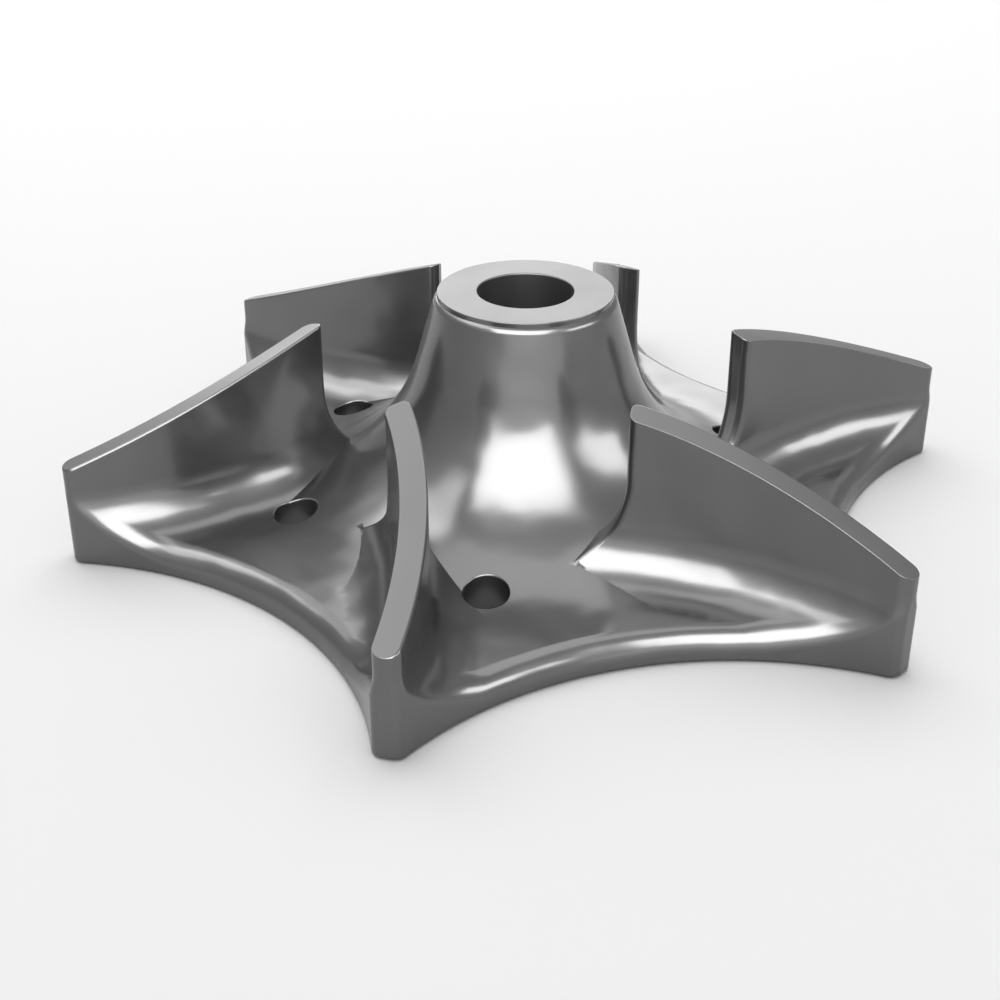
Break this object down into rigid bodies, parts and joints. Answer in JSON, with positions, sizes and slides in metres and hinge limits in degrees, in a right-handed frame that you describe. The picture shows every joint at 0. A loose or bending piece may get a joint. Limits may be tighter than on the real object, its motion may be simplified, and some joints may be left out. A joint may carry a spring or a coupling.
{
  "type": "pump impeller",
  "caption": "Open pump impeller cast in one piece: a bored conical hub flares into a scalloped star-shaped plate that carries curved vanes with wide foot fillets and drilled balance holes.",
  "frame": {"origin": "centre of the shaft bore in the flat back face of the plate", "axes": "+Z along the bore axis towards the free end of the hub, +X towards the tip of one vane"},
  "size_m": [0.116, 0.1016, 0.0292],
  "materials": {
    "cast_steel": "smooth polished casting with soft highlights, satin machined hub face and vane tops"
  },
  "bodies": {
    "root": {"impeller": "cast_steel"}
  },
  "joints": []
}
